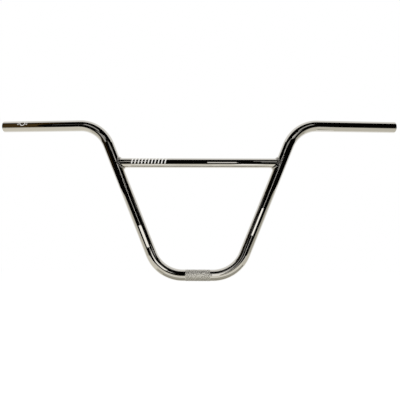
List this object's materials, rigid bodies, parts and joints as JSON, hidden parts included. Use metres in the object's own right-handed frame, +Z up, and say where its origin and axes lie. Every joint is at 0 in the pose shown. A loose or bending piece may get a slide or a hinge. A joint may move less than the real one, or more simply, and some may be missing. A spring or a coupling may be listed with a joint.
{
  "type": "bmx handlebar",
  "caption": "High-rise bicycle handlebar of bent steel tube, with a welded crossbar, swept open-ended grips and a straight clamp section.",
  "frame": {"origin": "middle of the straight clamp section, on the tube's axis", "axes": "+X along the clamp section towards one grip, +Z up the bar as it is ridden, +Y towards the rider, the way the grips sweep"},
  "size_m": [0.817, 0.0628, 0.3269],
  "materials": {
    "chrome": "polished chrome plate over steel, matt where the clamp is knurled"
  },
  "bodies": {
    "root": {"main_tube": "chrome", "crossbar": "chrome", "weld_bead_left": "chrome", "weld_bead_right": "chrome"}
  },
  "joints": []
}
